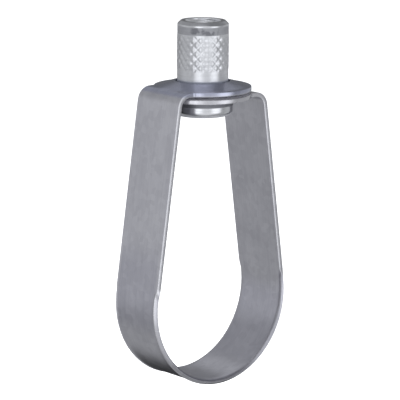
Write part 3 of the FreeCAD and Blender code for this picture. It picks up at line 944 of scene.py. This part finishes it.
def knurl_recipe():
    """Pyramids in staggered rows, cut to the knurl's length and wrapped round the barrel."""
    tree, _, given = recipe("roll_knurl", **{
        "Diamonds round": int, "Rows": int, "Low": float, "High": float, "Barrel": float,
        "Rise": float, "Depth": float, "Fade": float, "Finish": "material"})
    cell_width = 2 * math.pi / given["Diamonds round"]
    row_height = (given["High"] - given["Low"]) / given["Rows"]
    # One pyramid: a square grid stood on its corner.
    cell = add(tree, "GeometryNodeMeshGrid", 1.0, 1.0, CELL_STEPS + 1, CELL_STEPS + 1).outputs[0]
    p, q, _ = parts_of(tree, tree.nodes.new("GeometryNodeInputPosition").outputs[0])
    inward = 2.0 * maths("MAXIMUM", maths("ABSOLUTE", p), maths("ABSOLUTE", q))
    rise = given["Rise"] - (given["Rise"] + given["Depth"]) * inward * inward
    diamond = vector(tree, (p - q) * cell_width * 0.5, (p + q) * row_height, rise)
    pyramid = add(tree, "GeometryNodeSetPosition", cell, True, diamond).outputs[0]
    # Staggered rows of points: x is an angle, y a height.
    index = Field(tree.nodes.new("GeometryNodeInputIndex").outputs[0])
    row = maths("FLOOR", index / given["Diamonds round"])
    column = maths("MODULO", index, given["Diamonds round"])
    stagger = maths("MODULO", row, 2.0) * 0.5
    spot = vector(tree, (column + stagger) * cell_width, row * row_height, 0.0)
    count = given["Diamonds round"] * (given["Rows"] + 1.0)
    points = add(tree, "GeometryNodePoints", count, spot).outputs[0]
    copies = add(tree, "GeometryNodeInstanceOnPoints", points, True, pyramid).outputs[0]
    pyramids = add(tree, "GeometryNodeRealizeInstances", copies).outputs[0]
    # What sticks out past either end goes, and what crosses an end is cut there.
    span = given["High"] - given["Low"]
    half_span = span * 0.5
    angle, height, relief = parts_of(
        tree, tree.nodes.new("GeometryNodeInputPosition").outputs[0])
    from_middle = maths("ABSOLUTE", height - half_span)
    outside = maths("GREATER_THAN", from_middle, half_span + row_height * CUT_MARGIN)
    kept = add(tree, "GeometryNodeDeleteGeometry", pyramids, outside, domain="FACE").outputs[0]
    level = clamped(height, 0.0, span)
    to_end = half_span - maths("ABSOLUTE", level - half_span)
    radius = given["Barrel"] + relief * clamped(to_end / given["Fade"], 0.0, 1.0)
    wrapped = vector(tree, radius * cosine(angle), radius * sine(angle), given["Low"] + level)
    knurled = add(tree, "GeometryNodeSetPosition", kept, True, wrapped).outputs[0]
    return close_recipe(tree, weld(tree, knurled, SEAM_GAP), given["Finish"])


knurling = knurl_recipe()
starter = new_piece("starter", bpy.data.meshes.new("starter"))
knurl = cook(knurling, starter, **{
    "Diamonds round": DIAMONDS_ROUND, "Rows": DIAMOND_ROWS, "Low": knurl_low,
    "High": knurl_high, "Barrel": BARREL_RADIUS, "Rise": KNURL_RISE, "Depth": KNURL_DEPTH,
    "Fade": KNURL_FADE, "Finish": nut_finish})
print(f"knurl: {len(knurl.polygons)} faces")

# %% [markdown]
# ## The thread
# The bore holds a 3/8-16 thread for the rod. Its surface is a fine grid wrapped round the inside,
# and each point's radius follows the thread's profile at its place on the helix: a flat crest, a
# flank at 60 degrees and a flat root. The countersinks at both ends cut it away.

# %% The threading recipe
PITCH = 25.4 / 16 * MM
ROD_RADIUS = 9.525 / 2 * MM
ROWS_A_TURN = 12
CREST_SHARE = 0.25
FLANK_SHARE = 0.625


def thread_recipe():
    """A grid wrapped round the bore, whose radius follows the thread and its two countersinks."""
    tree, _, given = recipe("cut_thread", **{
        "Low": float, "High": float, "Crest": float, "Root": float, "Pitch": float,
        "Mouth": float, "Rows": int, "Columns": int, "Finish": "material"})
    grid = add(tree, "GeometryNodeMeshGrid", 1.0, 1.0, given["Columns"], given["Rows"]).outputs[0]
    p, q, _ = parts_of(tree, tree.nodes.new("GeometryNodeInputPosition").outputs[0])
    angle = (0.5 - p) * (2 * math.pi)
    height = given["Low"] + (given["High"] - given["Low"]) * (q + 0.5)
    turns = height / given["Pitch"] - angle / (2 * math.pi)
    from_crest = maths("ABSOLUTE", maths("FLOORED_MODULO", turns, 1.0) - 0.5) * 2.0
    depth = clamped((from_crest - CREST_SHARE) / FLANK_SHARE, 0.0, 1.0)
    threaded = given["Crest"] + (given["Root"] - given["Crest"]) * depth
    to_end = maths("MINIMUM", height - given["Low"], given["High"] - height)
    radius = maths("MAXIMUM", threaded, given["Mouth"] - to_end)
    wrapped = vector(tree, radius * cosine(angle), radius * sine(angle), height)
    wall = add(tree, "GeometryNodeSetPosition", grid, True, wrapped).outputs[0]
    return close_recipe(tree, weld(tree, wall, SEAM_GAP), given["Finish"])


threading = thread_recipe()
thread_rows = round((nut_high.z - nut_low.z) / PITCH * ROWS_A_TURN) + 1
thread = cook(threading, starter, **{
    "Low": nut_low.z, "High": nut_high.z, "Crest": bore_radius, "Root": ROD_RADIUS,
    "Pitch": PITCH, "Mouth": mouth_radius, "Rows": thread_rows, "Columns": BORE_STEPS + 1,
    "Finish": nut_finish})
bpy.data.objects.remove(starter)
print(f"thread: {len(thread.polygons)} faces")

# %% [markdown]
# ## One nut
# The knurl, the thread and the turned faces meet along rings of points that lie in the same
# places, so welding them gives one closed skin. Counting the edges that have only one face
# shows whether the skin is really closed.

# %% The welded nut
NUT_WELD_GAP = 0.003 * MM

for sleeve in (knurl, thread):
    nut_mesh.from_mesh(sleeve)
bmesh.ops.remove_doubles(nut_mesh, verts=nut_mesh.verts, dist=NUT_WELD_GAP)
open_edges = sum(not edge.is_manifold for edge in nut_mesh.edges)
nut_skin = bpy.data.meshes.new("knurled_nut")
nut_mesh.to_mesh(nut_skin)
nut_mesh.free()
nut_skin.materials.clear()
nut_skin.materials.append(nut_finish)
nut = new_piece("knurled_nut", nut_skin)
nut_skin.shade_smooth()
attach(nut, "nut")
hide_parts("swivel_nut")
print(f"nut: {len(nut_skin.polygons)} faces, {open_edges} open edges")

# %% [markdown]
# ## Floor, camera and light
# A pale floor lies well below the hanger, lit by one large panel overhead. The metal mirrors
# neither of them, because in the photo it shows darker surroundings than white paper. The paper
# has a front only: its back is clear, so that the hanger can be looked at from below too.

# %% Floor
FLOOR_DROP = 0.125
FLOOR_SIZE = 12.0
PAPER_COLOUR = (0.85, 0.85, 0.86, 1.0)
PAPER_ROUGHNESS = 0.9

floor_mesh = bpy.data.meshes.new("floor")
reach = FLOOR_SIZE / 2
floor_height = band_low.z - FLOOR_DROP
corners = [(-reach, -reach), (reach, -reach), (reach, reach), (-reach, reach)]
floor_mesh.from_pydata([(x, y, floor_height) for x, y in corners], [], [(0, 1, 2, 3)])
floor = new_piece("floor", floor_mesh)
paper = bpy.data.materials.new("pale_paper")
paper.use_nodes = True
paper_tree = paper.node_tree
paper_front = paper_tree.nodes["Principled BSDF"]
paper_front.inputs["Base Color"].default_value = PAPER_COLOUR
paper_front.inputs["Roughness"].default_value = PAPER_ROUGHNESS
paper_back = add(paper_tree, "ShaderNodeBsdfTransparent").outputs[0]
from_behind = add(paper_tree, "ShaderNodeNewGeometry").outputs["Backfacing"]
paper_sides = add(paper_tree, "ShaderNodeMixShader", from_behind, paper_front.outputs[0],
                  paper_back).outputs[0]
plug(paper_sides, paper_tree.nodes["Material Output"].inputs["Surface"])
floor_mesh.materials.append(paper)
floor.visible_glossy = False
floor.visible_shadow = False
print(f"floor {FLOOR_DROP / MM:.0f} mm below the hanger")

# %% Camera
VIEW_AZIMUTH = math.radians(39.885)
VIEW_ELEVATION = math.radians(11.483)
VIEW_ROLL = math.radians(0.499)
VIEW_DISTANCE = 0.7
FOCAL_PIXELS = 2594.9
FRAME_PIXELS = 400
AIM_SIDEWAYS = -0.425 * MM
AIM_HEIGHT = 26.425 * MM

cos_a, sin_a = math.cos(VIEW_AZIMUTH), math.sin(VIEW_AZIMUTH)
back = Vector((-sin_a * math.cos(VIEW_ELEVATION), -cos_a * math.cos(VIEW_ELEVATION),
               math.sin(VIEW_ELEVATION)))
level_right = Vector((cos_a, -sin_a, 0))
level_up = back.cross(level_right)
right_hand = level_right * math.cos(VIEW_ROLL) + level_up * math.sin(VIEW_ROLL)
up_hand = level_up * math.cos(VIEW_ROLL) - level_right * math.sin(VIEW_ROLL)
aim = level_right * AIM_SIDEWAYS + Vector((0, 0, AIM_HEIGHT))

lens = bpy.data.cameras.new("camera")
lens.sensor_width = 36
lens.lens = lens.sensor_width * FOCAL_PIXELS / FRAME_PIXELS
lens.clip_start = 0.05
lens.clip_end = 50
camera = bpy.data.objects.new("camera", lens)
turned = Matrix((right_hand, up_hand, back)).transposed().to_4x4()
camera.matrix_world = Matrix.Translation(aim + back * VIEW_DISTANCE) @ turned
bpy.context.scene.collection.objects.link(camera)
bpy.context.scene.camera = camera
print(f"camera {VIEW_DISTANCE} m away, lens {lens.lens:.1f} mm")

# %% Light for the floor
PANEL_HEIGHT = 1.8
PANEL_SIZE = 3.0
PANEL_WATTS = 95

panel = bpy.data.lights.new("overhead", "AREA")
panel.size = PANEL_SIZE
panel.energy = PANEL_WATTS
overhead = bpy.data.objects.new("overhead", panel)
overhead.location = (0, 0, PANEL_HEIGHT)
overhead.visible_glossy = False
bpy.context.scene.collection.objects.link(overhead)
print(f"overhead panel {PANEL_SIZE} m square")

# %% [markdown]
# ## A room for the metal to mirror
# Bare metal has no colour by itself and shows the room around it. So the room is painted on the
# world, as a photographer would place soft boxes and dark cards: each patch is a direction, how
# wide it is, how far it fades out, and how bright. The camera itself sees plain white.

# %% The painted room
SKY = 0.5
GROUND = 0.45
HORIZON = (-0.3, 0.3)
WHITE = 1.0
PAINT = (0.96, 0.98, 1.0, 1.0)
PATCHES = [
    # azimuth to the camera's right, elevation, full width, faded width, brightness
    (-96, 3, 8, 25, 0.69),
    (-8, 42, 22, 38, 1.15),
    (5, -36, 18, 36, 1.0),
    (20, 0, 30, 66, 0.95),
    (-18, -8, 7, 24, 1.75),
    (54, -8, 7, 24, 1.7),
    (180, 45, 25, 50, 0.49),
    (180, 7, 12, 26, 0.2),
    (180, -32, 19, 35, 0.0),
    (100, 45, 25, 45, 0.36),
    (125, -12, 15, 36, 0.6),
    (-70, -8, 18, 26, 0.65),
]


def toward(azimuth, elevation):
    """A direction from the hanger. azimuth is turned from the camera, to its right."""
    a = VIEW_AZIMUTH - math.radians(azimuth)
    e = math.radians(elevation)
    return Vector((-math.sin(a) * math.cos(e), -math.cos(a) * math.cos(e), math.sin(e)))


world = bpy.data.worlds.new("soft_room")
bpy.context.scene.world = world
world.use_nodes = True
room = world.node_tree
look = add(room, "ShaderNodeTexCoord").outputs["Generated"]
glow = GROUND + (SKY - GROUND) * eased(parts_of(room, look)[2], *HORIZON)
for azimuth, elevation, full, faded, brightness in PATCHES:
    aligned = add(room, "ShaderNodeVectorMath", look, toward(azimuth, elevation),
                  operation="DOT_PRODUCT").outputs["Value"]
    inside = eased(Field(aligned), math.cos(math.radians(faded)), math.cos(math.radians(full)))
    glow = glow + (brightness - glow) * inside
seen = Field(add(room, "ShaderNodeLightPath").outputs["Is Camera Ray"])
walls = room.nodes["Background"]
walls.inputs["Color"].default_value = PAINT
plug(glow + (WHITE - glow) * seen, walls.inputs["Strength"])
bpy.context.scene.view_settings.view_transform = "Standard"
print(f"room painted with {len(PATCHES)} soft patches")
